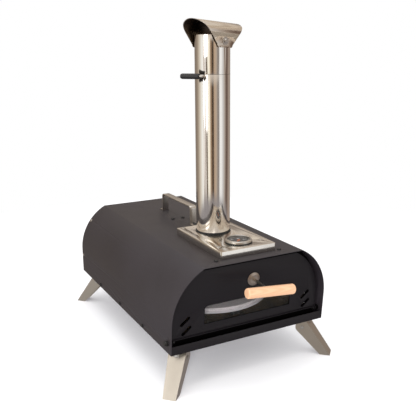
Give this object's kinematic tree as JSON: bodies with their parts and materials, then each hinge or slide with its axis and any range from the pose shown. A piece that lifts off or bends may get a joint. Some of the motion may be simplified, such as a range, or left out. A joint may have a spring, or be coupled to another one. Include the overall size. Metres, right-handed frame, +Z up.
{
  "type": "wood fired pizza oven",
  "caption": "Portable arched steel pizza oven on splayed folding legs, with a drop-down windowed door, wooden grip, polished chimney with rain cap, and a carrying handle.",
  "frame": {"origin": "on the ground, at the middle of the whole oven's outline seen from above", "axes": "+X to the right seen from the front, -Y out of the front door, +Z up"},
  "size_m": [0.4536, 0.717, 0.7831],
  "materials": {
    "black_paint": "satin black powder coat, fine texture",
    "door_paint": "matt black heat-proof paint",
    "chamber_steel": "heat-darkened sheet steel",
    "polished_steel": "polished stainless steel",
    "satin_steel": "brushed stainless steel",
    "galvanised": "dull zinc-plated steel",
    "black_steel": "black oxide steel",
    "grip_wood": "clear-oiled pale hardwood",
    "cordierite": "pale fired cordierite",
    "floor_fibre": "smoke-stained insulating board",
    "blanket_fibre": "ceramic fibre blanket",
    "clear_glass": "clear heat-proof glass",
    "black_rubber": "black heat-proof seal",
    "dial_face": "printed matt dial",
    "needle_red": "orange-red lacquer",
    "handle_black": "black phenolic sleeve"
  },
  "bodies": {
    "oven": {"outer_shell": "black_paint", "base_tray": "black_paint", "rear_panel": "black_paint", "rear_panel_rivets": "satin_steel", "tray_side_screws": "black_steel", "front_frame": "chamber_steel", "inner_liner": "chamber_steel", "insulation_blanket": "blanket_fibre", "floor_board": "floor_fibre", "stone_pivot": "chamber_steel", "fire_box": "chamber_steel", "fire_grate": "black_steel", "fuel_hinge_leaf": "satin_steel", "fuel_hinge_pin": "satin_steel", "door_pivot_bolts": "black_steel", "door_pivot_spacers": "galvanised", "flue_collar": "satin_steel", "chimney_base_plate": "polished_steel", "base_plate_screws": "satin_steel", "pipe_gasket": "black_rubber", "gauge_gasket": "black_rubber", "gauge_case": "polished_steel", "gauge_dial": "dial_face", "gauge_glass": "clear_glass", "carrying_handle": "satin_steel", "carrying_handle_screws": "black_steel", "roof_screws": "black_steel", "leg_brackets": "galvanised", "leg_bolts": "galvanised"},
    "front_door": {"door_panel": "door_paint", "door_inner_panel": "chamber_steel", "window_glass": "clear_glass", "door_panel_screws": "black_steel", "handle_escutcheon": "polished_steel", "handle_rod": "satin_steel", "wooden_grip": "grip_wood"},
    "fuel_door": {"fuel_door_panel": "door_paint", "fuel_door_leaf": "satin_steel", "fuel_door_knob": "grip_wood"},
    "ash_drawer": {"drawer_tray": "door_paint", "drawer_knob": "grip_wood"},
    "turntable": {"stone_carrier": "chamber_steel", "pizza_stone": "cordierite", "stone_turning_tab": "chamber_steel"},
    "chimney": {"lower_pipe": "polished_steel", "upper_pipe": "polished_steel", "rain_cap": "satin_steel", "rain_cap_screws": "satin_steel"},
    "damper": {"damper_shaft": "satin_steel", "damper_disc": "satin_steel", "damper_handle": "handle_black"},
    "needle": {"gauge_needle": "needle_red"},
    "leg_front_left": {"leg_front_left": "satin_steel"},
    "leg_front_right": {"leg_front_right": "satin_steel"},
    "leg_rear_left": {"leg_rear_left": "satin_steel"},
    "leg_rear_right": {"leg_rear_right": "satin_steel"}
  },
  "joints": [
    {"name": "front_door_hinge", "type": "hinge", "parent": "oven", "child": "front_door", "pos_m": [0, -0.26796, 0.111], "axis": [1, 0, 0], "range_deg": [0, 88]},
    {"name": "fuel_door_hinge", "type": "hinge", "parent": "oven", "child": "fuel_door", "pos_m": [-0.0895, 0.32804, 0.183], "axis": [0, 0, 1], "range_deg": [0, 110]},
    {"name": "ash_drawer_slide", "type": "slide", "parent": "oven", "child": "ash_drawer", "axis": [0, 1, 0], "range_m": [0, 0.15]},
    {"name": "stone_turn", "type": "hinge", "parent": "oven", "child": "turntable", "pos_m": [0, -0.08296, 0.128], "axis": [0, 0, 1], "continuous": true},
    {"name": "chimney_lift", "type": "slide", "parent": "oven", "child": "chimney", "axis": [0, 0, 1], "range_m": [0, 0.04]},
    {"name": "damper_turn", "type": "hinge", "parent": "chimney", "child": "damper", "pos_m": [0, -0.10896, 0.6595], "axis": [-0.8192, -0.5736, 0], "range_deg": [0, 90]},
    {"name": "needle_turn", "type": "hinge", "parent": "oven", "child": "needle", "pos_m": [0.004, -0.22096, 0.296], "axis": [0, 0, -1], "range_deg": [0, 270]},
    {"name": "leg_front_left_fold", "type": "hinge", "parent": "oven", "child": "leg_front_left", "pos_m": [-0.168, -0.25696, 0.068], "axis": [0.7071, -0.7071, 0], "range_deg": [0, 122]},
    {"name": "leg_front_right_fold", "type": "hinge", "parent": "oven", "child": "leg_front_right", "pos_m": [0.168, -0.25696, 0.068], "axis": [0.7071, 0.7071, 0], "range_deg": [0, 122]},
    {"name": "leg_rear_left_fold", "type": "hinge", "parent": "oven", "child": "leg_rear_left", "pos_m": [-0.168, 0.27904, 0.068], "axis": [-0.7071, -0.7071, 0], "range_deg": [0, 122]},
    {"name": "leg_rear_right_fold", "type": "hinge", "parent": "oven", "child": "leg_rear_right", "pos_m": [0.168, 0.27904, 0.068], "axis": [-0.7071, 0.7071, 0], "range_deg": [0, 122]}
  ]
}
